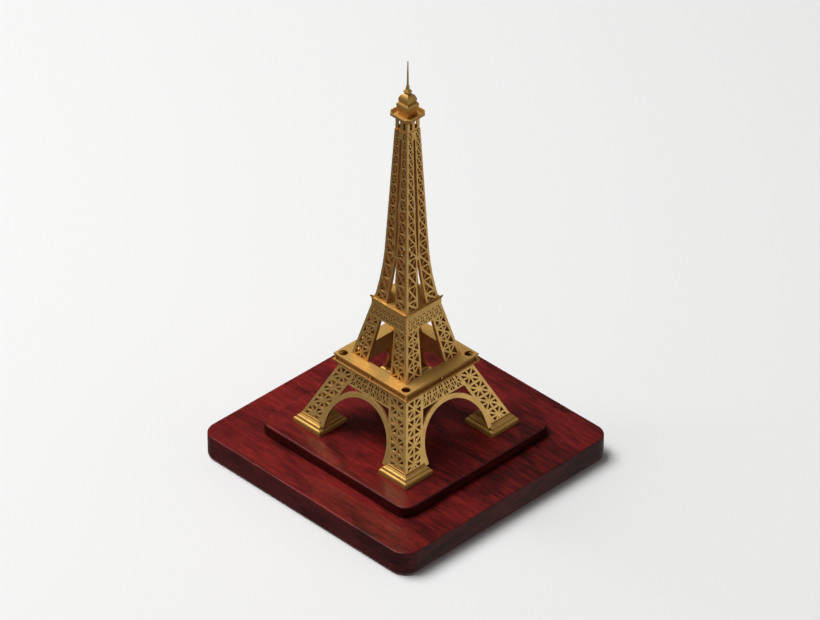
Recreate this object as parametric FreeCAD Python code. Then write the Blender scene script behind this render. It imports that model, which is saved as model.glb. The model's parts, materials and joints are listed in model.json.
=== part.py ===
"""A lattice tower ornament on a two-step wooden base.

Units are millimetres, +Z is up. The origin is on the table, under the centre of the base.
Every face of the tower is drawn once, as the face that looks along -Y, and turned by
quarter turns about Z for the other three. Points on a face are (x, z) pairs.
"""

import FreeCAD, Part
import math
import os

os.makedirs("parts", exist_ok=True)

Vector = FreeCAD.Vector
UP = Vector(0, 0, 1)
QUARTERS = range(4)

# ---- driving dimensions: the base -------------------------------------------------------
BASE_SIDE = 200.0
BASE_THICK = 17.8
BASE_CORNER = 12.5
PLINTH_SIDE = 142.4
PLINTH_THICK = 8.6
PLINTH_CORNER = 8.5
BOARD_EDGE_ROUND = 1.2
PAD_RADIUS = 8.0
PAD_THICK = 1.2
PAD_PLACE = 78.0

# ---- driving dimensions: the tower, heights from the plinth's top ------------------------
TOWER_Z = PAD_THICK + BASE_THICK + PLINTH_THICK
FOOT_PLACE = 41.7
FOOT_HALF = 13.1
FOOT_TOP_HALF = 8.9
FOOT_HEIGHT = 8.5
FOOT_SLAB = 2.4
FOOT_ROUND = 1.7
FOOT_GROOVE = 0.4

LEG_TOP = 52.2
LEG_FOOT_HALF = 50.1
LEG_TOP_HALF = 30.8
LEG_WIDTH = 16.5
LEG_PLATE = 2.8
LEG_CELL = 10.57
LEG_FIRST_STAR = 11.4
LEG_STILE = 2.2
LEG_RIM_BAR = 0.8
LEG_UPRIGHT = 1.5
LEG_RAIL = 1.3
LEG_BRACE = 1.35

BAND_LOW = 40.0
BAND_CELLS = 6
BAND_LOW_BAR = 1.0
BAND_TOP_BAR = 1.3
BAND_END_BAR = 0.45
BAND_UPRIGHT = 0.7
BAND_RAIL = 0.8
BAND_BRACE = 0.85

ARCH_INNER = 28.6
ARCH_OUTER = 32.1
ARCH_DEPTH = 1.8
ARCH_TOE = 6.3
ARCH_TOE_OUTER = 32.0

GALLERY_TOP = 58.1
GALLERY_PLATE = 1.1
GALLERY_HALF = 34.9
GALLERY_FLANGE = 1.2
GALLERY_FLANGE_HALF = 35.5
GALLERY_WEB_HALF = 33.0
GALLERY_WEB = 0.8
GALLERY_POST = 1.3
GALLERY_POST_INSET = 0.5
GALLERY_HOLE_RADIUS = 3.1
GALLERY_HOLE_INSET = 4.8
WELL_HALF = 24.9
WELL_WALL = 1.0
WELL_LOW = 45.3

UPPER_LOW_HALF = 26.2
UPPER_SLOPE = 0.229
UPPER_LEG_TOP = 91.6
UPPER_LEG_LOW_WIDTH = 15.1
UPPER_LEG_TOP_WIDTH = 11.7
UPPER_PLATE = 2.8
UPPER_CELLS = 4
UPPER_CORNER_STILE = 2.1
UPPER_INNER_STILE = 1.6
UPPER_RIM_BAR = 0.6
UPPER_UPRIGHT = 1.3
UPPER_BRACE = 1.15
UPPER_BAND_TOP = 100.4
UPPER_BAND_CELLS = 7
UPPER_BAND_END = 1.7
UPPER_BAND_LOW_BAR = 1.0
UPPER_BAND_TOP_BAR = 0.6
UPPER_BAND_SIDE_BAR = 0.4
UPPER_BAND_UPRIGHT = 0.6
UPPER_BAND_RAIL = 0.7
UPPER_BAND_BRACE = 0.75

DECK_COLLAR_HALF = 16.65
DECK_COLLAR_WALL = 1.6
DECK_COLLAR_TOP = 104.0
DECK_FLOOR = 104.8
DECK_RIM_TOP = 106.3
DECK_RIM_HALF = 17.5
DECK_RIM_WALL = 1.1
DECK_RIM_EDGE = 0.6
DECK_RIM_FLARE = 0.9

SPIRE_KNEE = 147.0
SPIRE_KNEE_HALF = 10.38
SPIRE_TAPER = 0.0464
SPIRE_FLARE = 0.001675
SPIRE_PLATE = 2.4
SPIRE_FIRST_NODE = 111.7
SPIRE_FIRST_ROW = 10.8
SPIRE_ROW_STEP = 0.31
SPIRE_ROWS = 15
SPIRE_MERGE_ROWS = 3
SPIRE_SLOT_LOW = 3.9
SPIRE_SLOT_LEAST = 0.4
SPIRE_SLOT_GROWTH = 0.04
SPIRE_SLOT_SHARE = 0.155
SPIRE_GUSSET = 2.6
SPIRE_CORNER_STILE = 0.65
SPIRE_CORNER_STILE_SHARE = 0.1
SPIRE_SLOT_STILE = 0.5
SPIRE_SLOT_STILE_SHARE = 0.07
SPIRE_RAIL = 0.2
SPIRE_RAIL_SHARE = 0.035
SPIRE_FALLING = 0.25
SPIRE_FALLING_SHARE = 0.085
SPIRE_RISING = 0.5

NECK_HALF = 5.65
NECK_WALL = 1.1
NECK_TOP = 249.0
NECK_WINDOW_LOW = 242.6
NECK_WINDOW_WIDTH = 2.3
NECK_WINDOW_HEIGHT = 5.6
NECK_MULLION = 2.3

LOOKOUT_FOOT_HALF = 6.3
LOOKOUT_FOOT_CHAMFER = 1.4
LOOKOUT_HALF = 9.5
LOOKOUT_CHAMFER = 2.8
LOOKOUT_TOP = 254.0
LOOKOUT_RIM = 1.8
LOOKOUT_RIM_WALL = 0.7
DISH_DEPTH = 2.2
DISH_FLOOR_HALF = 7.4
DISH_FLOOR_CHAMFER = 2.0

DRUM_HALF = 4.4
DRUM_HEIGHT = 5.5
RING_HALF = 4.9
RING_BULGE = 0.5
RING_HEAD_HALF = 4.6
RING_TOP = 261.5
DOME_HALF = 3.9
DOME_SHOULDER_HALF = 4.3
DOME_SHOULDER = 264.4
DOME_HEAD_HALF = 1.2
DOME_TOP = 268.6
SAUCER_HALF = 2.1
SAUCER_FOOT_HALF = 1.1
SAUCER_LOW = 269.4
SAUCER_TOP = 270.1
FINIAL_WAIST = 271.8
FINIAL_WAIST_HALF = 1.0
FINIAL_HEAD_HALF = 0.78

NEEDLE_LOW = 274.4
NEEDLE_RADIUS = 0.72
NEEDLE_HEAD_RADIUS = 0.34
NEEDLE_TIP_RADIUS = 0.12
NEEDLE_TIP = 0.3
SPIGOT_RADIUS = 0.42
SPIGOT_LENGTH = 3.0
SPIGOT_PLAY = 0.03
TOWER_HEIGHT = 293.4

SCREW_RADIUS = 1.95
SCREW_CLEARANCE = 2.3
SCREW_HEAD_RADIUS = 3.6
SCREW_HEAD = 2.6
SCREW_BORE_RADIUS = 5.2
SCREW_BORE_DEPTH = 6.0
SCREW_BITE = 6.0
SCREW_PLAY = 0.05
SCREW_SLOT_WIDTH = 1.0
SCREW_SLOT_DEPTH = 1.2
WASHER_RADIUS = 4.6
WASHER_THICK = 0.8


# ---- small helpers ----------------------------------------------------------------------
def quarter_turn(shape, quarter):
    """The same shape a number of quarter turns further round the tower."""
    turned = shape.copy()
    turned.rotate(Vector(0, 0, 0), UP, 90.0 * quarter)
    return turned


def save(name, shapes):
    """Lift a node from the plinth's top to its place and write it."""
    solids = shapes if isinstance(shapes, list) else [shapes]
    lifted = []
    for solid in solids:
        copy = solid.copy()
        copy.translate(Vector(0, 0, TOWER_Z))
        lifted.append(copy)
    node = lifted[0] if len(lifted) == 1 else Part.makeCompound(lifted)
    if not node.isValid():
        raise ValueError(name + " is not a valid shape")
    node.exportStep("parts/" + name + ".step")
    print(name, len(node.Solids), "solids", round(node.Volume, 1), "mm3")


def square_prism(half, low, high):
    return Part.makeBox(2 * half, 2 * half, high - low, Vector(-half, -half, low))


def square_tube(half, wall, low, high):
    return square_prism(half, low, high).cut(square_prism(half - wall, low, high))


def cylinder(radius, low, high, x=0.0, y=0.0):
    return Part.makeCylinder(radius, high - low, Vector(x, y, low))


def pierced_face(loops):
    """A flat face from an outline and the outlines of its openings, all turning one way."""
    outer = Part.makePolygon(loops[0] + loops[0][:1])
    inner = [Part.makePolygon(loop[::-1] + loop[-1:]) for loop in loops[1:]]
    return Part.Face([outer] + inner)


def square_turning(profile):
    """A solid of square plan from a half profile: edges in the XZ plane, from the axis
    at the bottom, up the outside, and back to the axis at the top."""
    mirrored = [edge.mirror(Vector(0, 0, 0), Vector(1, 0, 0)) for edge in profile]
    outline = Part.Wire(Part.__sortEdges__(profile + mirrored))
    reach = 1.0 + max(edge.BoundBox.XMax for edge in profile)
    slab = Part.Face(outline).extrude(Vector(0, 2 * reach, 0))
    slab.translate(Vector(0, -reach, 0))
    return slab.common(quarter_turn(slab, 1))


def profile_line(start, end):
    return Part.LineSegment(Vector(start[0], 0, start[1]), Vector(end[0], 0, end[1])).toShape()


def profile_arc(start, middle, end):
    points = [Vector(x, 0, z) for x, z in (start, middle, end)]
    return Part.Arc(*points).toShape()


def profile_lines(points):
    return [profile_line(a, b) for a, b in zip(points, points[1:])]


# ---- lattice openings, in the flat (x, z) of a face --------------------------------------
SMALLEST_OPENING = 0.2


def signed_area(points):
    pairs = zip(points, points[1:] + points[:1])
    return 0.5 * sum(a[0] * b[1] - b[0] * a[1] for a, b in pairs)


def line_crossing(p, d, q, e):
    """Where the line through p along d meets the line through q along e."""
    cross = d[0] * e[1] - d[1] * e[0]
    reach = ((q[0] - p[0]) * e[1] - (q[1] - p[1]) * e[0]) / cross
    return (p[0] + reach * d[0], p[1] + reach * d[1])


def inset(corners, setbacks):
    """A convex anticlockwise outline with each side moved inwards by its own setback.
    Returns None where nothing useful is left."""
    lines = []
    for a, b, back in zip(corners, corners[1:] + corners[:1], setbacks):
        run = (b[0] - a[0], b[1] - a[1])
        length = math.hypot(*run)
        inward = (-run[1] / length, run[0] / length)
        lines.append(((a[0] + back * inward[0], a[1] + back * inward[1]), run))
    moved = []
    for before, after in zip(lines[-1:] + lines[:-1], lines):
        moved.append(line_crossing(before[0], before[1], after[0], after[1]))
    for a, b, line in zip(moved, moved[1:] + moved[:1], lines):
        if (b[0] - a[0]) * line[1][0] + (b[1] - a[1]) * line[1][1] <= 0:
            return None
    return moved if signed_area(moved) > SMALLEST_OPENING else None


def fan(rim, rays):
    """The openings between bars that run from the middle of a cell to its rim points,
    where rays[i] is the width of the bar that ends at point i."""
    middle = (sum(p[0] for p in rim) / len(rim), sum(p[1] for p in rim) / len(rim))
    openings = []
    for i in range(len(rim)):
        j = (i + 1) % len(rim)
        openings.append(inset([rim[i], rim[j], middle], [0.0, rays[j] / 2, rays[i] / 2]))
    return [opening for opening in openings if opening]


def between(a, b, share=0.5):
    return (a[0] + (b[0] - a[0]) * share, a[1] + (b[1] - a[1]) * share)


def star_cell(corners, margins, upright, rail, brace):
    """Eight openings: an upright, a rail and both braces cross in the middle.
    corners run anticlockwise from bottom left, margins bottom, right, top, left."""
    bl, br, tr, tl = inset(corners, margins)
    rim = [bl, between(bl, br), br, between(br, tr), tr, between(tr, tl), tl, between(tl, bl)]
    return fan(rim, [brace, upright, brace, rail] * 2)


def split_cross_cell(corners, margins, upright, brace):
    """Six openings: both braces and an upright, with no rail."""
    bl, br, tr, tl = inset(corners, margins)
    rim = [bl, between(bl, br), br, tr, between(tr, tl), tl]
    return fan(rim, [brace, upright, brace] * 2)


def cross_cell(corners, margins, falling, rising):
    """Four openings between a heavy falling brace and a light rising one."""
    return fan(inset(corners, margins), [rising, falling] * 2)


def clip(points, side):
    """The part of a convex outline where side(point) is positive."""
    kept = []
    for a, b in zip(points, points[1:] + points[:1]):
        here, there = side(a), side(b)
        if here >= 0:
            kept.append(a)
        if here * there < 0:
            kept.append(between(a, b, here / (here - there)))
    if len(kept) < 3 or signed_area(kept) < SMALLEST_OPENING:
        return None
    return kept


# ---- plates that lean with a face --------------------------------------------------------
CORNER_SPARE = 1.0
MITRE_REACH = 80.0


def mitred(plate):
    """A plate of the -Y face cut off at 45 degrees where the next faces begin."""
    left = Vector(-MITRE_REACH, -MITRE_REACH, 0)
    right = Vector(MITRE_REACH, -MITRE_REACH, 0)
    axis = Vector(0, 0, 0)
    wedge = Part.Face(Part.makePolygon([axis, left, right, axis]))
    return plate.common(wedge.extrude(Vector(0, 0, TOWER_HEIGHT)))


def leaning_plate(outline, openings, half_at, depth):
    """A pierced plate on the -Y face, where half_at(z) is the face's distance from the axis.
    The plate is as deep as depth, measured level."""
    def on_face(point):
        return Vector(point[0], -half_at(point[1]), point[1])

    loops = [[on_face(p) for p in loop] for loop in [outline] + openings]
    return pierced_face(loops).extrude(Vector(0, depth, 0))


# ---- the wooden base ---------------------------------------------------------------------
def rounded_board(side, corner, low, high):
    board = square_prism(side / 2, low, high)
    upright_edges = [e for e in board.Edges if e.BoundBox.ZLength > 0.5 * (high - low)]
    board = board.makeFillet(corner, upright_edges)
    rims = [e for e in board.Edges if e.BoundBox.ZLength < 0.01]
    return board.makeFillet(BOARD_EDGE_ROUND, rims)


def screw_places():
    return [(sx * FOOT_PLACE, sy * FOOT_PLACE) for sx in (-1, 1) for sy in (-1, 1)]


def make_base_board():
    low = -PLINTH_THICK - BASE_THICK
    board = rounded_board(BASE_SIDE, BASE_CORNER, low, -PLINTH_THICK)
    for x, y in screw_places():
        board = board.cut(cylinder(SCREW_CLEARANCE, low - 1, -PLINTH_THICK + 1, x, y))
        board = board.cut(cylinder(SCREW_BORE_RADIUS, low - 1, low + SCREW_BORE_DEPTH, x, y))
    return board


def make_plinth_board():
    board = rounded_board(PLINTH_SIDE, PLINTH_CORNER, -PLINTH_THICK, 0)
    for x, y in screw_places():
        board = board.cut(cylinder(SCREW_CLEARANCE, -PLINTH_THICK - 1, 1, x, y))
    return board


def make_base_pad(sx, sy):
    low = -PLINTH_THICK - BASE_THICK - PAD_THICK
    return cylinder(PAD_RADIUS, low, low + PAD_THICK, sx * PAD_PLACE, sy * PAD_PLACE)


def make_screw(x, y):
    seat = -PLINTH_THICK - BASE_THICK + SCREW_BORE_DEPTH - WASHER_THICK
    shank = cylinder(SCREW_RADIUS, seat, SCREW_BITE, x, y)
    head = cylinder(SCREW_HEAD_RADIUS, seat - SCREW_HEAD, seat, x, y)
    slot = Part.makeBox(2 * SCREW_HEAD_RADIUS, SCREW_SLOT_WIDTH, SCREW_SLOT_DEPTH)
    slot.translate(Vector(x - SCREW_HEAD_RADIUS, y - SCREW_SLOT_WIDTH / 2, seat - SCREW_HEAD))
    return shank.fuse(head).cut(slot).removeSplitter()


def make_washer(x, y):
    top = -PLINTH_THICK - BASE_THICK + SCREW_BORE_DEPTH
    ring = cylinder(WASHER_RADIUS, top - WASHER_THICK, top, x, y)
    return ring.cut(cylinder(SCREW_CLEARANCE, top - WASHER_THICK, top, x, y))


def profile_round(outer, low):
    """A quarter round on a foot's step, and the corner where it ends."""
    inner, high = outer - FOOT_ROUND, low + FOOT_ROUND
    bulge = FOOT_ROUND * math.sqrt(0.5)
    return profile_arc((outer, low), (inner + bulge, low + bulge), (inner, high)), (inner, high)


def make_foot_block():
    """A square foot with two rounded steps and a head, bored from below for its screw."""
    profile = profile_lines([(0, 0), (FOOT_HALF, 0), (FOOT_HALF, FOOT_SLAB)])
    half, level = FOOT_HALF, FOOT_SLAB
    for _ in range(2):
        step, corner = profile_round(half, level)
        half, level = corner[0], corner[1] + FOOT_GROOVE
        profile += [step, profile_line(corner, (half, level))]
    head = level + half - FOOT_TOP_HALF
    profile += profile_lines(
        [(half, level), (FOOT_TOP_HALF, head), (FOOT_TOP_HALF, FOOT_HEIGHT), (0, FOOT_HEIGHT)]
    )
    block = square_turning(profile)
    block = block.cut(cylinder(SCREW_RADIUS + SCREW_PLAY, -1, SCREW_BITE + 10 * SCREW_PLAY))
    block.translate(Vector(FOOT_PLACE, -FOOT_PLACE, 0))
    return block


# ---- the first stage: four legs, lattice bands and arches ---------------------------------
LEG_SLOPE = (LEG_FOOT_HALF - LEG_TOP_HALF) / (LEG_TOP - FOOT_HEIGHT)


def leg_half(z):
    return LEG_FOOT_HALF - LEG_SLOPE * (z - FOOT_HEIGHT)


def leg_inner(z):
    return leg_half(z) - LEG_WIDTH


FACE_STRETCH = math.hypot(1.0, LEG_SLOPE)
ARCH_SPRING = BAND_LOW - ARCH_OUTER / FACE_STRETCH


def outside_arch(opening):
    """An opening cut back where the arch band runs over the leg."""
    across = sum(p[0] for p in opening) / len(opening)
    above = sum(p[1] for p in opening) / len(opening) - ARCH_SPRING
    if above <= 0:
        return clip(opening, lambda p: p[0] - ARCH_OUTER)
    reach = math.hypot(across, above * FACE_STRETCH)
    ux, uz = across / reach, above * FACE_STRETCH / reach
    return clip(
        opening,
        lambda p: p[0] * ux + (p[1] - ARCH_SPRING) * FACE_STRETCH * uz - ARCH_OUTER,
    )


def right_quad(inner, outer, low, high):
    """A leg's outline between two levels, on the right of a face."""
    return [(inner(low), low), (outer(low), low), (outer(high), high), (inner(high), high)]


def mirrored(loops):
    return [[(-x, z) for x, z in reversed(loop)] for loop in loops]


def corner_plates(inner, outer, low, high, openings, depth):
    """One leg: the plate on this face and the one round the corner, mitred together."""
    right = right_quad(inner, lambda z: outer(z) + CORNER_SPARE, low, high)
    loops = [right] + openings
    plates = []
    for outline, *holes in (loops, mirrored(loops)):
        plates.append(mitred(leaning_plate(outline, holes, outer, depth)))
    here, beside = plates
    return [here, quarter_turn(beside, 1)]


def leg_openings():
    """The star cells up one leg, cut off at its ends and along the arch."""
    margins = (LEG_RIM_BAR, LEG_STILE, LEG_RIM_BAR, LEG_STILE)
    lowest = FOOT_HEIGHT + LEG_RIM_BAR / 2
    highest = LEG_TOP - LEG_RIM_BAR
    openings = []
    low = LEG_FIRST_STAR - LEG_CELL / 2
    while low < highest:
        high = low + LEG_CELL
        corners = right_quad(leg_inner, leg_half, low, high)
        for opening in star_cell(corners, margins, LEG_UPRIGHT, LEG_RAIL, LEG_BRACE):
            opening = clip(opening, lambda p: p[1] - lowest)
            opening = opening and clip(opening, lambda p: highest - p[1])
            opening = opening and outside_arch(opening)
            if opening:
                openings.append(opening)
        low = high
    return openings


def make_leg_plates():
    return corner_plates(leg_inner, leg_half, FOOT_HEIGHT, LEG_TOP, leg_openings(), LEG_PLATE)


def make_band():
    """The lattice band between two legs, under the gallery."""
    low, high = BAND_LOW, LEG_TOP
    outline = [(-leg_inner(low), low), (leg_inner(low), low)]
    outline += [(leg_inner(high), high), (-leg_inner(high), high)]
    margins = (BAND_LOW_BAR, BAND_END_BAR, BAND_TOP_BAR, BAND_END_BAR)
    openings = []
    for i in range(BAND_CELLS):
        share, following = i / BAND_CELLS, (i + 1) / BAND_CELLS
        corners = [
            between(outline[0], outline[1], share),
            between(outline[0], outline[1], following),
            between(outline[3], outline[2], following),
            between(outline[3], outline[2], share),
        ]
        openings += star_cell(corners, margins, BAND_UPRIGHT, BAND_RAIL, BAND_BRACE)
    return leaning_plate(outline, openings, leg_half, LEG_PLATE)


def make_arch():
    """The plain band that springs from two feet and touches the lattice band's middle."""
    def at(x, z):
        return Vector(x, -leg_half(z), z)

    def circle_top(radius):
        return ARCH_SPRING + radius / FACE_STRETCH

    def leaves_leg():
        """The height where the arch's outer edge comes clear of the leg's inner edge."""
        low, high = ARCH_SPRING + 5.0, BAND_LOW
        for _ in range(60):
            middle = (low + high) / 2
            reach = math.hypot(leg_inner(middle), (middle - ARCH_SPRING) * FACE_STRETCH)
            if reach > ARCH_OUTER:
                high = middle
            else:
                low = middle
        return (low + high) / 2

    free = leaves_leg()
    right = [
        at(ARCH_INNER, ARCH_SPRING),
        at(ARCH_INNER, ARCH_TOE),
        at(ARCH_TOE_OUTER, ARCH_TOE),
        at(ARCH_TOE_OUTER, FOOT_HEIGHT),
        at(leg_inner(FOOT_HEIGHT), FOOT_HEIGHT),
        at(leg_inner(free), free),
    ]
    left = [Vector(-p.x, p.y, p.z) for p in right]
    edges = [Part.LineSegment(a, b).toShape() for a, b in zip(right, right[1:])]
    edges.append(Part.Arc(right[-1], at(0, circle_top(ARCH_OUTER)), left[-1]).toShape())
    edges += [Part.LineSegment(a, b).toShape() for a, b in zip(left, left[1:])]
    edges.append(Part.Arc(left[0], at(0, circle_top(ARCH_INNER)), right[0]).toShape())
    outline = Part.Wire(Part.__sortEdges__(edges))
    return Part.Face(outline).extrude(Vector(0, ARCH_DEPTH, 0))


# ---- the gallery: a channel of two plates round an open well --------------------------------
FLANGE_TOP = LEG_TOP + GALLERY_FLANGE
PLATE_LOW = GALLERY_TOP - GALLERY_PLATE
WELL_OUTER = WELL_HALF + WELL_WALL


def make_gallery_flange():
    return square_tube(GALLERY_FLANGE_HALF, GALLERY_FLANGE_HALF - WELL_OUTER, LEG_TOP, FLANGE_TOP)


def make_gallery_web():
    return square_tube(GALLERY_WEB_HALF, GALLERY_WEB, FLANGE_TOP, PLATE_LOW)


def make_gallery_posts():
    """A post at each corner and one in the middle of each side."""
    outer = GALLERY_HALF - GALLERY_POST_INSET
    corner = Part.makeBox(GALLERY_POST, GALLERY_POST, PLATE_LOW - FLANGE_TOP)
    corner.translate(Vector(outer - GALLERY_POST, -outer, FLANGE_TOP))
    middle = Part.makeBox(GALLERY_POST, outer - GALLERY_WEB_HALF, PLATE_LOW - FLANGE_TOP)
    middle.translate(Vector(-GALLERY_POST / 2, -outer, FLANGE_TOP))
    return [quarter_turn(post, q) for q in QUARTERS for post in (corner, middle)]


def make_gallery_plate():
    plate = square_tube(GALLERY_HALF, GALLERY_HALF - WELL_OUTER, PLATE_LOW, GALLERY_TOP)
    place = GALLERY_HALF - GALLERY_HOLE_INSET
    hole = cylinder(GALLERY_HOLE_RADIUS, PLATE_LOW - 1, GALLERY_TOP + 1, place, -place)
    for quarter in QUARTERS:
        plate = plate.cut(quarter_turn(hole, quarter))
    return plate


def make_well_liner():
    return square_tube(WELL_OUTER, WELL_WALL, WELL_LOW, GALLERY_TOP)


# ---- the second stage -----------------------------------------------------------------------
def upper_half(z):
    return UPPER_LOW_HALF - UPPER_SLOPE * (z - GALLERY_TOP)


def upper_inner(z):
    share = (z - GALLERY_TOP) / (UPPER_LEG_TOP - GALLERY_TOP)
    width = UPPER_LEG_LOW_WIDTH + share * (UPPER_LEG_TOP_WIDTH - UPPER_LEG_LOW_WIDTH)
    return upper_half(z) - width


def upper_levels():
    """Cell heights shrink with the leg's width, from the gallery to the band."""
    total = UPPER_LEG_TOP - GALLERY_TOP
    shrink = (UPPER_LEG_TOP_WIDTH / UPPER_LEG_LOW_WIDTH) ** (1.0 / UPPER_CELLS)
    first = total * (1 - shrink) / (1 - shrink**UPPER_CELLS)
    levels = [GALLERY_TOP]
    for i in range(UPPER_CELLS):
        levels.append(levels[-1] + first * shrink**i)
    return levels


def make_upper_leg_plates():
    margins = (UPPER_RIM_BAR, UPPER_CORNER_STILE, UPPER_RIM_BAR, UPPER_INNER_STILE)
    openings = []
    levels = upper_levels()
    for low, high in zip(levels, levels[1:]):
        corners = right_quad(upper_inner, upper_half, low, high)
        openings += split_cross_cell(corners, margins, UPPER_UPRIGHT, UPPER_BRACE)
    low, high = GALLERY_TOP, UPPER_LEG_TOP
    return corner_plates(upper_inner, upper_half, low, high, openings, UPPER_PLATE)


def make_upper_band():
    """The lattice panel across the head of the second stage."""
    low, high = UPPER_LEG_TOP, UPPER_BAND_TOP
    outline = [
        (-upper_half(low) - CORNER_SPARE, low),
        (upper_half(low) + CORNER_SPARE, low),
        (upper_half(high) + CORNER_SPARE, high),
        (-upper_half(high) - CORNER_SPARE, high),
    ]
    margins = (UPPER_BAND_LOW_BAR, UPPER_BAND_SIDE_BAR, UPPER_BAND_TOP_BAR, UPPER_BAND_SIDE_BAR)
    bars = (UPPER_BAND_UPRIGHT, UPPER_BAND_RAIL, UPPER_BAND_BRACE)
    openings = []
    for i in range(UPPER_BAND_CELLS):
        corners = []
        for share, z in ((i, low), (i + 1, low), (i + 1, high), (i, high)):
            reach = upper_half(z) - UPPER_BAND_END
            corners.append((reach * (2 * share / UPPER_BAND_CELLS - 1), z))
        openings += star_cell(corners, margins, *bars)
    return mitred(leaning_plate(outline, openings, upper_half, UPPER_PLATE))


def make_deck_collar():
    return square_tube(DECK_COLLAR_HALF, DECK_COLLAR_WALL, UPPER_BAND_TOP, DECK_COLLAR_TOP)


def make_deck_tray():
    """The deck under the spire, with a flared rim round it."""
    lip = DECK_RIM_HALF - DECK_RIM_WALL
    profile = profile_lines(
        [
            (0, DECK_COLLAR_TOP),
            (DECK_COLLAR_HALF, DECK_COLLAR_TOP),
            (DECK_RIM_HALF, DECK_RIM_TOP - DECK_RIM_EDGE),
            (DECK_RIM_HALF, DECK_RIM_TOP),
            (lip, DECK_RIM_TOP),
            (lip - DECK_RIM_FLARE, DECK_FLOOR),
            (0, DECK_FLOOR),
        ]
    )
    return square_turning(profile)


# ---- the spire ------------------------------------------------------------------------------
def spire_half(z):
    flare = max(0.0, SPIRE_KNEE - z)
    return SPIRE_KNEE_HALF - SPIRE_TAPER * (z - SPIRE_KNEE) + SPIRE_FLARE * flare**2


def spire_levels():
    levels = [DECK_FLOOR, SPIRE_FIRST_NODE]
    for i in range(SPIRE_ROWS):
        levels.append(levels[-1] + SPIRE_FIRST_ROW - i * SPIRE_ROW_STEP)
    return levels


SPIRE_LEVELS = spire_levels()
SPIRE_MERGE = SPIRE_LEVELS[1 + SPIRE_MERGE_ROWS]
SPIRE_TOP = SPIRE_LEVELS[-1]


def spire_slot(z):
    """Half the gap between the two strips of a face: a long V up to the merge, then a
    narrow slot that widens a little and follows the spire's taper."""
    if z <= SPIRE_MERGE:
        share = (SPIRE_MERGE - z) / (SPIRE_MERGE - DECK_FLOOR)
        return SPIRE_SLOT_LEAST + share * (SPIRE_SLOT_LOW - SPIRE_SLOT_LEAST)
    opening = SPIRE_SLOT_LEAST + SPIRE_SLOT_GROWTH * (z - SPIRE_MERGE)
    return min(opening, SPIRE_SLOT_SHARE * spire_half(z))


def spire_cell(low, high, left_x, right_x, corner_on_right):
    """One row of a strip, with its heavy brace falling to the right."""
    half = spire_half((low + high) / 2)
    corner_stile = SPIRE_CORNER_STILE + SPIRE_CORNER_STILE_SHARE * half
    slot_stile = SPIRE_SLOT_STILE + SPIRE_SLOT_STILE_SHARE * half
    rail = SPIRE_RAIL + SPIRE_RAIL_SHARE * half
    falling = SPIRE_FALLING + SPIRE_FALLING_SHARE * half
    right = corner_stile if corner_on_right else slot_stile
    left = slot_stile if corner_on_right else corner_stile
    corners = [
        (left_x(low), low),
        (right_x(low), low),
        (right_x(high), high),
        (left_x(high), high),
    ]
    return cross_cell(corners, (rail, right, rail, left), falling, SPIRE_RISING)


def bent_plate(left_at, right_at, openings_of):
    """A pierced strip that follows the spire's curve in flat rows, level by level."""
    rows = []
    for low, high in zip(SPIRE_LEVELS, SPIRE_LEVELS[1:]):
        slope = (spire_half(high) - spire_half(low)) / (high - low)

        def row_half(z, start=low, slope=slope):
            return spire_half(start) + slope * (z - start)

        outline = [
            (left_at(low), low),
            (right_at(low), low),
            (right_at(high), high),
            (left_at(high), high),
        ]
        rows.append(leaning_plate(outline, openings_of(low, high), row_half, SPIRE_PLATE))
    return mitred(rows[0].multiFuse(rows[1:]))


def make_spire_leg_strips():
    """The two bent strips that meet at one corner of the spire."""

    def right_edge(z):
        return spire_half(z) + CORNER_SPARE

    def left_edge(z):
        return -right_edge(z)

    def left_corner(z):
        return -spire_half(z)

    def left_slot(z):
        return -spire_slot(z)

    def right_cells(low, high):
        return spire_cell(low, high, spire_slot, spire_half, True)

    def left_cells(low, high):
        return spire_cell(low, high, left_corner, left_slot, False)

    here = bent_plate(spire_slot, right_edge, right_cells)
    beside = bent_plate(left_edge, left_slot, left_cells)
    return [here, quarter_turn(beside, 1)]


def make_spire_gusset(row, height):
    """The small web that joins the two strips of a face at the head of one row."""
    below, high = SPIRE_LEVELS[row], SPIRE_LEVELS[row + 1]
    slope = (spire_half(high) - spire_half(below)) / (high - below)

    def row_half(z):
        return spire_half(high) + slope * (z - high)

    low = high - height
    outline = [(-spire_slot(low), low), (spire_slot(low), low)]
    outline += [(spire_slot(high), high), (-spire_slot(high), high)]
    return leaning_plate(outline, [], row_half, SPIRE_PLATE)


def make_spire_neck():
    """A straight neck with two windows in each side."""
    neck = square_tube(NECK_HALF, NECK_WALL, SPIRE_TOP, NECK_TOP)
    for quarter in QUARTERS:
        for x in (-NECK_MULLION / 2 - NECK_WINDOW_WIDTH, NECK_MULLION / 2):
            window = Part.makeBox(NECK_WINDOW_WIDTH, 3 * NECK_WALL, NECK_WINDOW_HEIGHT)
            window.translate(Vector(x, -NECK_HALF - NECK_WALL, NECK_WINDOW_LOW))
            neck = neck.cut(quarter_turn(window, quarter))
    return neck


# ---- the lookout and the cap ------------------------------------------------------------------
CAP_LOW = LOOKOUT_TOP - DISH_DEPTH


def clipped_square(half, chamfer, z):
    """A square outline with its corners cut off."""
    near = half - chamfer
    quarter = [Vector(near, -half, z), Vector(half, -near, z)]
    points = []
    for turn in QUARTERS:
        for point in quarter:
            turned = FreeCAD.Rotation(UP, 90.0 * turn).multVec(point)
            points.append(turned)
    return Part.makePolygon(points + points[:1])


def clipped_loft(low_outline, high_outline):
    return Part.makeLoft([low_outline, high_outline], True, True)


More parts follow.
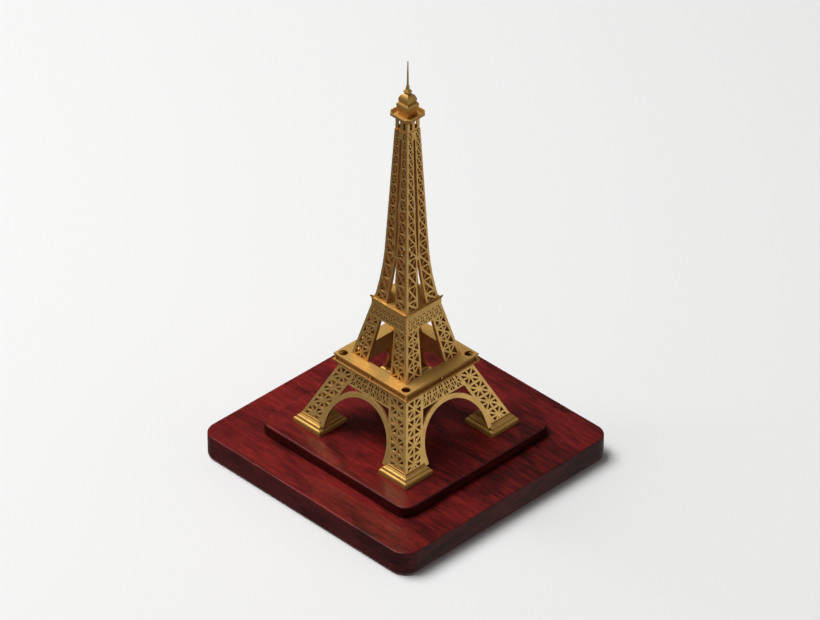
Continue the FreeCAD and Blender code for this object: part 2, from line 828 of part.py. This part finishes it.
def make_lookout():
    """A tray with clipped corners, coved underneath and dished on top."""
    rim_low = LOOKOUT_TOP - LOOKOUT_RIM
    rim_outline = clipped_square(LOOKOUT_HALF, LOOKOUT_CHAMFER, rim_low)
    foot_outline = clipped_square(LOOKOUT_FOOT_HALF, LOOKOUT_FOOT_CHAMFER, NECK_TOP)
    rim = Part.Face(rim_outline).extrude(Vector(0, 0, LOOKOUT_RIM))
    tray = clipped_loft(foot_outline, rim_outline).fuse(rim).removeSplitter()
    floor_outline = clipped_square(DISH_FLOOR_HALF, DISH_FLOOR_CHAMFER, CAP_LOW)
    mouth_half = LOOKOUT_HALF - LOOKOUT_RIM_WALL
    mouth_chamfer = LOOKOUT_CHAMFER - LOOKOUT_RIM_WALL / 2
    mouth_outline = clipped_square(mouth_half, mouth_chamfer, LOOKOUT_TOP)
    return tray.cut(clipped_loft(floor_outline, mouth_outline))


def make_cap_ring():
    """The square drum that stands in the tray, with a rounded ring at its head."""
    drum_top = CAP_LOW + DRUM_HEIGHT
    ring_low = drum_top + RING_HALF - DRUM_HALF
    ring_middle = (ring_low + RING_TOP) / 2
    profile = profile_lines(
        [(0, CAP_LOW), (DRUM_HALF, CAP_LOW), (DRUM_HALF, drum_top), (RING_HALF, ring_low)]
    )
    bulge = (RING_HALF + RING_BULGE, ring_middle)
    profile.append(profile_arc((RING_HALF, ring_low), bulge, (RING_HEAD_HALF, RING_TOP)))
    profile.append(profile_line((RING_HEAD_HALF, RING_TOP), (0, RING_TOP)))
    return square_turning(profile)


def make_cap_dome():
    foot, head = (DOME_HALF, RING_TOP), (DOME_HEAD_HALF, DOME_TOP)
    profile = [
        profile_line((0, RING_TOP), foot),
        profile_arc(foot, (DOME_SHOULDER_HALF, DOME_SHOULDER), head),
        profile_line(head, (0, DOME_TOP)),
    ]
    return square_turning(profile)


def make_finial():
    """The saucer and small spire over the dome, bored for the needle."""
    profile = profile_lines(
        [
            (0, DOME_TOP),
            (SAUCER_FOOT_HALF, DOME_TOP),
            (SAUCER_HALF, SAUCER_LOW),
            (SAUCER_HALF, SAUCER_TOP),
            (FINIAL_WAIST_HALF, FINIAL_WAIST),
            (FINIAL_HEAD_HALF, NEEDLE_LOW),
            (0, NEEDLE_LOW),
        ]
    )
    low = NEEDLE_LOW - SPIGOT_LENGTH - SPIGOT_PLAY
    return square_turning(profile).cut(cylinder(SPIGOT_RADIUS + SPIGOT_PLAY, low, NEEDLE_LOW))


def make_needle():
    shoulder = TOWER_HEIGHT - NEEDLE_TIP
    foot, head = Vector(0, 0, NEEDLE_LOW), Vector(0, 0, shoulder)
    cone = Part.makeCone(NEEDLE_RADIUS, NEEDLE_HEAD_RADIUS, shoulder - NEEDLE_LOW, foot)
    tip = Part.makeCone(NEEDLE_HEAD_RADIUS, NEEDLE_TIP_RADIUS, NEEDLE_TIP, head)
    spigot = cylinder(SPIGOT_RADIUS, NEEDLE_LOW - SPIGOT_LENGTH, NEEDLE_LOW)
    return cone.fuse([tip, spigot]).removeSplitter()


# ---- everything in its node ---------------------------------------------------------------------
def main():
    pads = [make_base_pad(sx, sy) for sx in (-1, 1) for sy in (-1, 1)]
    for number, pad in enumerate(pads, 1):
        save("base_pad_%d" % number, pad)
    save("base_board", make_base_board())
    save("plinth_board", make_plinth_board())
    save("foot_screws", [make_screw(x, y) for x, y in screw_places()])
    save("foot_washers", [make_washer(x, y) for x, y in screw_places()])

    leg_plates = make_leg_plates()
    upper_plates = make_upper_leg_plates()
    spire_strips = make_spire_leg_strips()
    singles = {
        "foot_block": make_foot_block(),
        "lower_band": make_band(),
        "arch": make_arch(),
        "upper_band": make_upper_band(),
    }
    groups = {"lower_leg": leg_plates, "upper_leg": upper_plates, "spire_leg": spire_strips}
    for quarter in QUARTERS:
        for name, solid in singles.items():
            save("%s_%d" % (name, quarter + 1), quarter_turn(solid, quarter))
        for name, solids in groups.items():
            save("%s_%d" % (name, quarter + 1), [quarter_turn(s, quarter) for s in solids])

    save("gallery_flange", make_gallery_flange())
    save("gallery_web", make_gallery_web())
    save("gallery_posts", make_gallery_posts())
    save("gallery_plate", make_gallery_plate())
    save("well_liner", make_well_liner())
    save("deck_collar", make_deck_collar())
    save("deck_tray", make_deck_tray())
    top_row = SPIRE_ROWS
    gussets = [
        make_spire_gusset(SPIRE_MERGE_ROWS, SPIRE_GUSSET),
        make_spire_gusset(top_row, SPIRE_TOP - SPIRE_LEVELS[top_row]),
    ]
    save("spire_gussets", [quarter_turn(g, quarter) for g in gussets for quarter in QUARTERS])
    save("spire_neck", make_spire_neck())
    save("lookout_tray", make_lookout())
    save("cap_ring", make_cap_ring())
    save("cap_dome", make_cap_dome())
    save("finial", make_finial())
    save("needle", make_needle())


main()
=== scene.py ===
"""The looks of a lattice tower ornament: a brass tower on a lacquered wooden base.

Everything is in metres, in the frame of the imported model: +Z up, the origin on the table
under the middle of the base, the tower's faces square to X and Y.
"""

import json
import math

import bpy
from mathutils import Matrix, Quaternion, Vector


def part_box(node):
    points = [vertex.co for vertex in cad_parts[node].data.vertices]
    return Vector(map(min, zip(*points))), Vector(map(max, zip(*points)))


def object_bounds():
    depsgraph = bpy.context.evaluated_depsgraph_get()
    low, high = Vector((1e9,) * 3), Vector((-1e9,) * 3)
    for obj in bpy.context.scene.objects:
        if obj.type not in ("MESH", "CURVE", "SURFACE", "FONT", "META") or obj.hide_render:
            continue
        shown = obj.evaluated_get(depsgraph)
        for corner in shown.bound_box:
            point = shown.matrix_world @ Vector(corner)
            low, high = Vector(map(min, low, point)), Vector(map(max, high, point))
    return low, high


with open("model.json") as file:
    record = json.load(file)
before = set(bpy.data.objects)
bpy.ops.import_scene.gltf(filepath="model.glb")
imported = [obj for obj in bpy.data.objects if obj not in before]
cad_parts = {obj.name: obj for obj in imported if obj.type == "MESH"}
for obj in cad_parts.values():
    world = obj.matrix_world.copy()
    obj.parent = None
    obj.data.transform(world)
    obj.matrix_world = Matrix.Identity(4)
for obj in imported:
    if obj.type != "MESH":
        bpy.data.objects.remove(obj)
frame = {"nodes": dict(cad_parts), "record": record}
cad_low, cad_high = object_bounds()

MM = 0.001
PLINTH_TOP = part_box("plinth_board")[1].z


# ---- node graphs -------------------------------------------------------------------------
class Shader:
    """A material being put together. Each call adds one node and gives back its output."""

    def __init__(self, name):
        self.material = bpy.data.materials.new(name)
        self.material.use_nodes = True
        self.tree = self.material.node_tree
        self.surface = self.tree.nodes["Principled BSDF"]

    def feed(self, socket, value):
        if isinstance(value, bpy.types.NodeSocket):
            self.tree.links.new(value, socket)
        else:
            socket.default_value = value

    def node(self, kind, inputs, settings=None):
        made = self.tree.nodes.new("ShaderNode" + kind)
        for key, value in (settings or {}).items():
            setattr(made, key, value)
        for key, value in inputs.items():
            self.feed(made.inputs[key], value)
        return made

    def place(self):
        return self.node("TexCoord", {}).outputs["Object"]

    def normal(self):
        return self.node("NewGeometry", {}).outputs["Normal"]

    def split(self, vector):
        return self.node("SeparateXYZ", {0: vector}).outputs

    def join(self, x, y, z):
        return self.node("CombineXYZ", {0: x, 1: y, 2: z}).outputs[0]

    def grey(self, value):
        return self.node("CombineColor", {0: value, 1: value, 2: value}).outputs[0]

    def math(self, operation, a, b=0.0, clamp=False):
        settings = {"operation": operation, "use_clamp": clamp}
        return self.node("Math", {0: a, 1: b}, settings).outputs[0]

    def stretched(self, vector, x, y, z):
        return self.node("VectorMath", {0: vector, 1: (x, y, z)}, {"operation": "MULTIPLY"}).outputs[0]

    def noise(self, vector, scale=1.0, detail=2.0, roughness=0.5, distortion=0.0):
        inputs = {
            "Vector": vector,
            "Scale": scale,
            "Detail": detail,
            "Roughness": roughness,
            "Distortion": distortion,
        }
        return self.node("TexNoise", inputs).outputs["Fac"]

    def fit(self, value, low, high, to_low=0.0, to_high=1.0):
        inputs = {"Value": value, "From Min": low, "From Max": high, "To Min": to_low, "To Max": to_high}
        return self.node("MapRange", inputs).outputs["Result"]

    def ramp(self, value, stops):
        made = self.node("ValToRGB", {"Fac": value})
        elements = made.color_ramp.elements
        while len(elements) < len(stops):
            elements.new(0.5)
        for element, (place, colour) in zip(elements, stops):
            element.position = place
            element.color = (*colour, 1.0)
        return made.outputs["Color"]

    def blend(self, factor, a, b, kind="MIX"):
        made = self.node("Mix", {}, {"data_type": "RGBA", "blend_type": kind})
        self.feed(made.inputs[0], factor)
        for socket, value in ((made.inputs[6], a), (made.inputs[7], b)):
            self.feed(socket, (*value, 1.0) if isinstance(value, tuple) else value)
        return made.outputs[2]

    def blend_vectors(self, factor, a, b):
        made = self.node("Mix", {}, {"data_type": "VECTOR"})
        self.feed(made.inputs[0], factor)
        self.feed(made.inputs[4], a)
        self.feed(made.inputs[5], b)
        return made.outputs[1]

    def recess(self, distance):
        """1 on open faces, falling towards 0 in crevices."""
        made = self.node("AmbientOcclusion", {"Distance": distance}, {"samples": 6})
        return made.outputs["AO"]

    def soft_edges(self, radius):
        return self.node("Bevel", {"Radius": radius}, {"samples": 4}).outputs["Normal"]

    def bump(self, height, strength, distance, normal=None):
        inputs = {"Height": height, "Strength": strength, "Distance": distance}
        if normal is not None:
            inputs["Normal"] = normal
        return self.node("Bump", inputs).outputs["Normal"]

    def finish(self, inputs):
        for key, value in inputs.items():
            self.feed(self.surface.inputs[key], value)
        return self.material


# ---- materials ---------------------------------------------------------------------------
# Painted shade: how fast the wood's colour darkens towards the +X+Y corner, per metre.
PAINTED_FALLOFF_PER_METRE = 0.35
# Painted shade: the share of the top's colour left on the upright sides.
PAINTED_SIDE_SHADE = 0.45


def lacquered_mahogany():
    """Dark red wood with short pores and smoky figure under a clear satin coat; painted shade
    darkens its sides and the wood towards one corner."""
    s = Shader("lacquered_mahogany")
    x, y, z = s.split(s.place())
    across = s.math("ABSOLUTE", s.split(s.normal())[0])
    on_end = s.math("GREATER_THAN", across, math.sqrt(0.5))
    grain = s.blend_vectors(on_end, s.join(x, y, z), s.join(y, x, z))

    clouds = s.noise(s.stretched(grain, 17.0, 48.0, 60.0), detail=4.0, roughness=0.55, distortion=0.5)
    ribbons = s.noise(s.stretched(grain, 55.0, 330.0, 330.0), detail=3.0, distortion=0.4)
    pores = s.noise(s.stretched(grain, 210.0, 2600.0, 2600.0), detail=2.0, roughness=0.6)

    figure = s.math("ADD", s.math("MULTIPLY", clouds, 0.55), s.math("MULTIPLY", ribbons, 0.45))
    # Painted shade: the figure darkens towards the +X+Y corner, standing in for light falling off across
    # the board.
    painted_falloff = s.math("MULTIPLY", s.math("ADD", x, y), PAINTED_FALLOFF_PER_METRE)
    figure = s.math("SUBTRACT", figure, painted_falloff)
    body = s.ramp(
        s.fit(figure, 0.34, 0.66),
        [
            (0.0, (0.034, 0.0028, 0.0028)),
            (0.3, (0.082, 0.0055, 0.0056)),
            (0.6, (0.150, 0.0095, 0.0092)),
            (1.0, (0.225, 0.0150, 0.0125)),
        ],
    )
    streaks = s.fit(pores, 0.40, 0.62, 0.62, 1.25)
    colour = s.blend(0.75, body, s.grey(streaks), "MULTIPLY")
    # Painted shade: faces that don't point up are darkened, standing in for the shade on the board's
    # sides.
    painted_side_factor = s.fit(s.math("ABSOLUTE", s.split(s.normal())[2]), 0.2, 0.9, PAINTED_SIDE_SHADE, 1.0)
    colour = s.blend(1.0, colour, s.grey(painted_side_factor), "MULTIPLY")

    orange_peel = s.noise(s.place(), scale=420.0, detail=1.0)
    return s.finish(
        {
            "Base Color": colour,
            "Roughness": s.fit(pores, 0.3, 0.7, 0.52, 0.38),
            "IOR": 1.45,
            "Specular IOR Level": 0.10,
            "Normal": s.bump(pores, 0.25, 0.05 * MM),
            "Coat Weight": 0.25,
            "Coat Roughness": 0.20,
            "Coat IOR": 1.5,
            "Coat Normal": s.bump(orange_peel, 0.12, 0.02 * MM),
        }
    )


def brass(name, bright, aged, painted_recess_colour, roughness, edge, brushed, recess):
    """Brass with a fine brushed grain and cloudy ageing, with painted shade in its recesses: darker
    brown and less metallic there.
    """
    s = Shader(name)
    place = s.place()
    clouds = s.noise(place, scale=85.0, detail=4.0, roughness=0.6, distortion=0.5)
    brushing = s.noise(s.stretched(place, *brushed), detail=2.0, roughness=0.55)
    grit = s.noise(place, scale=2600.0, detail=1.0)

    surface = s.blend(s.fit(clouds, 0.35, 0.68), bright, aged)
    # Painted shade: crevices found by ambient occlusion get a dark brown colour and less metal, standing
    # in for their shade and the reflections between brass faces.
    painted_recess_shade = s.fit(s.recess(recess), 0.25, 0.85)
    colour = s.blend(painted_recess_shade, painted_recess_colour, surface)
    soft = s.soft_edges(edge)
    lines = s.bump(brushing, 0.10, 0.02 * MM, soft)
    cloudy = s.fit(clouds, 0.3, 0.7, roughness - 0.05, roughness + 0.06)
    rough = s.math("ADD", cloudy, s.fit(grit, 0.3, 0.7, -0.03, 0.03))
    return s.finish(
        {
            "Base Color": colour,
            "Metallic": s.fit(painted_recess_shade, 0.0, 1.0, 0.35, 1.0),
            "Roughness": rough,
            "Normal": s.bump(grit, 0.06, 0.01 * MM, lines),
        }
    )


def felt():
    s = Shader("black_felt")
    fibres = s.noise(s.place(), scale=3200.0, detail=3.0, roughness=0.7)
    colour = s.ramp(fibres, [(0.3, (0.006, 0.006, 0.007)), (0.7, (0.035, 0.034, 0.033))])
    return s.finish(
        {
            "Base Color": colour,
            "Roughness": 0.95,
            "Sheen Weight": 0.4,
            "Normal": s.bump(fibres, 0.8, 0.2 * MM),
        }
    )


def zinc():
    s = Shader("zinc_plate")
    spangle = s.noise(s.place(), scale=900.0, detail=2.0)
    colour = s.ramp(spangle, [(0.35, (0.42, 0.43, 0.45)), (0.65, (0.66, 0.66, 0.64))])
    turning = s.noise(s.stretched(s.place(), 300.0, 300.0, 9000.0), detail=1.0)
    return s.finish(
        {
            "Base Color": colour,
            "Metallic": 1.0,
            "Roughness": s.fit(spangle, 0.3, 0.7, 0.22, 0.40),
            "Normal": s.bump(turning, 0.15, 0.02 * MM, s.soft_edges(0.12 * MM)),
        }
    )


def make_materials():
    return {
        "lacquered_wood": lacquered_mahogany(),
        "pad_felt": felt(),
        "zinc_steel": zinc(),
        "lattice_brass": brass(
            # bright, aged, then the painted recess shade colour
            "satin_brass", (0.90, 0.58, 0.20), (0.79, 0.49, 0.16), (0.50, 0.20, 0.05),
            roughness=0.42, edge=0.14 * MM, brushed=(900.0, 900.0, 9000.0), recess=16.0 * MM,
        ),
        "cast_brass": brass(
            # bright, aged, then the painted recess shade colour
            "golden_brass", (0.68, 0.42, 0.125), (0.59, 0.365, 0.11), (0.56, 0.27, 0.06),
            roughness=0.60, edge=0.22 * MM, brushed=(500.0, 500.0, 7000.0), recess=6.0 * MM,
        ),
    }


def dress_nodes():
    materials = make_materials()
    for part in frame["record"]["subparts"]:
        node = frame["nodes"][part["node"]]
        for slot in node.material_slots:
            slot.material = materials[part["material_slot"]]


# ---- stage, light and camera --------------------------------------------------------------
CAMERA_DISTANCE = 3.704
CAMERA_ELEVATION = math.radians(36.444)
CAMERA_AZIMUTH = math.radians(45.0)
CAMERA_ROLL = math.radians(0.363)
CAMERA_LENS = 237.1
AIM_ABOVE_PLINTH = 0.0939
AIM_RIGHT = 0.0024


def direction(azimuth, elevation):
    """Unit vector towards an azimuth seen from -Y round to +X, and an elevation."""
    level = math.cos(elevation)
    return Vector((math.sin(azimuth) * level, -math.cos(azimuth) * level, math.sin(elevation)))


def looking(location, target):
    return (target - location).to_track_quat("-Z", "Y")


def make_camera():
    data = bpy.data.cameras.new("camera")
    data.sensor_width = 36.0
    data.lens = CAMERA_LENS
    data.clip_start = 0.1
    camera = bpy.data.objects.new("camera", data)
    bpy.context.scene.collection.objects.link(camera)
    plinth_middle = Vector((0.0, 0.0, PLINTH_TOP))
    right = Vector((math.cos(CAMERA_AZIMUTH), math.sin(CAMERA_AZIMUTH), 0.0))
    camera.location = plinth_middle + CAMERA_DISTANCE * direction(CAMERA_AZIMUTH, CAMERA_ELEVATION)
    aim = plinth_middle + Vector((0.0, 0.0, AIM_ABOVE_PLINTH)) + AIM_RIGHT * right
    camera.rotation_mode = "QUATERNION"
    roll = Quaternion((0.0, 0.0, 1.0), CAMERA_ROLL)
    camera.rotation_quaternion = looking(camera.location, aim) @ roll
    bpy.context.scene.camera = camera


def make_softbox(name, azimuth, elevation, distance, width, height, power, colour=(1.0, 1.0, 1.0)):
    data = bpy.data.lights.new(name, "AREA")
    data.shape = "RECTANGLE"
    data.size = width
    data.size_y = height
    data.energy = power
    data.color = colour
    lamp = bpy.data.objects.new(name, data)
    bpy.context.scene.collection.objects.link(lamp)
    middle = (cad_low + cad_high) / 2
    lamp.location = middle + distance * direction(math.radians(azimuth), math.radians(elevation))
    lamp.rotation_mode = "QUATERNION"
    lamp.rotation_quaternion = looking(lamp.location, middle)
    lamp.visible_camera = False


def make_lights():
    make_softbox("overhead", -60.0, 66.0, 3.2, 2.0, 2.0, 112.0)
    make_softbox("right_panel", 128.0, 8.0, 1.6, 1.4, 1.0, 2.6)
    make_softbox("left_panel", -38.0, 6.0, 1.8, 1.0, 1.0, 0.7)
    make_softbox("back_panel", 225.0, 52.0, 2.2, 1.2, 0.8, 0.7)


PAPER_TONE = 0.92
ROOM_TINT = (1.0, 0.97, 0.93)
ROOM_ABOVE = 0.11
ROOM_LOW_LEFT = 0.12
ROOM_LOW_RIGHT = 0.47
ROOM_LOW_ELEVATION = (0.10, -0.30)


def room_level(tree):
    """The room's brightness by direction: dim above, paler low down, most of all at right."""
    place = tree.nodes.new("ShaderNodeTexCoord").outputs["Generated"]

    def fitted(value, start, end, to_start, to_end):
        made = tree.nodes.new("ShaderNodeMapRange")
        tree.links.new(value, made.inputs["Value"])
        limits = {"From Min": start, "From Max": end, "To Min": to_start, "To Max": to_end}
        for key, limit in limits.items():
            if isinstance(limit, bpy.types.NodeSocket):
                tree.links.new(limit, made.inputs[key])
            else:
                made.inputs[key].default_value = limit
        return made.outputs["Result"]

    across = tree.nodes.new("ShaderNodeVectorMath")
    across.operation = "DOT_PRODUCT"
    across.inputs[1].default_value = (math.cos(CAMERA_AZIMUTH), math.sin(CAMERA_AZIMUTH), 0.0)
    tree.links.new(place, across.inputs[0])
    parts = tree.nodes.new("ShaderNodeSeparateXYZ")
    tree.links.new(place, parts.inputs[0])
    low_level = fitted(across.outputs["Value"], -1.0, 1.0, ROOM_LOW_LEFT, ROOM_LOW_RIGHT)
    return fitted(parts.outputs["Z"], *ROOM_LOW_ELEVATION, ROOM_ABOVE, low_level)


def make_world():
    world = bpy.data.worlds.new("studio")
    world.use_nodes = True
    tree = world.node_tree
    output = tree.nodes["World Output"]
    room = tree.nodes["Background"]
    room.inputs["Color"].default_value = (*ROOM_TINT, 1.0)
    tree.links.new(room_level(tree), room.inputs["Strength"])
    paper = tree.nodes.new("ShaderNodeBackground")
    paper.inputs["Color"].default_value = (PAPER_TONE, PAPER_TONE, PAPER_TONE, 1.0)
    path = tree.nodes.new("ShaderNodeLightPath")
    mix = tree.nodes.new("ShaderNodeMixShader")
    tree.links.new(path.outputs["Is Camera Ray"], mix.inputs[0])
    tree.links.new(room.outputs[0], mix.inputs[1])
    tree.links.new(paper.outputs[0], mix.inputs[2])
    tree.links.new(mix.outputs[0], output.inputs["Surface"])
    bpy.context.scene.world = world


FLOOR_HALF = 6.0
FLOOR_TONE = 0.90


def make_floor():
    """A pale table top. It isn't seen in reflections, nor from below."""
    corners = [(FLOOR_HALF * x, FLOOR_HALF * y, 0.0) for x, y in ((-1, -1), (1, -1), (1, 1), (-1, 1))]
    mesh = bpy.data.meshes.new("floor")
    mesh.from_pydata(corners, [], [(0, 1, 2, 3)])
    floor = bpy.data.objects.new("floor", mesh)
    floor.location.z = cad_low.z
    bpy.context.scene.collection.objects.link(floor)
    s = Shader("pale_floor")
    pale = (FLOOR_TONE, FLOOR_TONE, FLOOR_TONE, 1.0)
    s.finish({"Base Color": pale, "Roughness": 1.0, "Specular IOR Level": 0.0})
    under = s.node("NewGeometry", {}).outputs["Backfacing"]
    clear = s.node("BsdfTransparent", {}).outputs[0]
    mix = s.node("MixShader", {0: under, 1: s.surface.outputs[0], 2: clear})
    s.tree.links.new(mix.outputs[0], s.tree.nodes["Material Output"].inputs["Surface"])
    mesh.materials.append(s.material)
    floor.visible_glossy = False


dress_nodes()
make_world()
make_lights()
make_floor()
make_camera()
bpy.context.scene.view_settings.view_transform = "Standard"
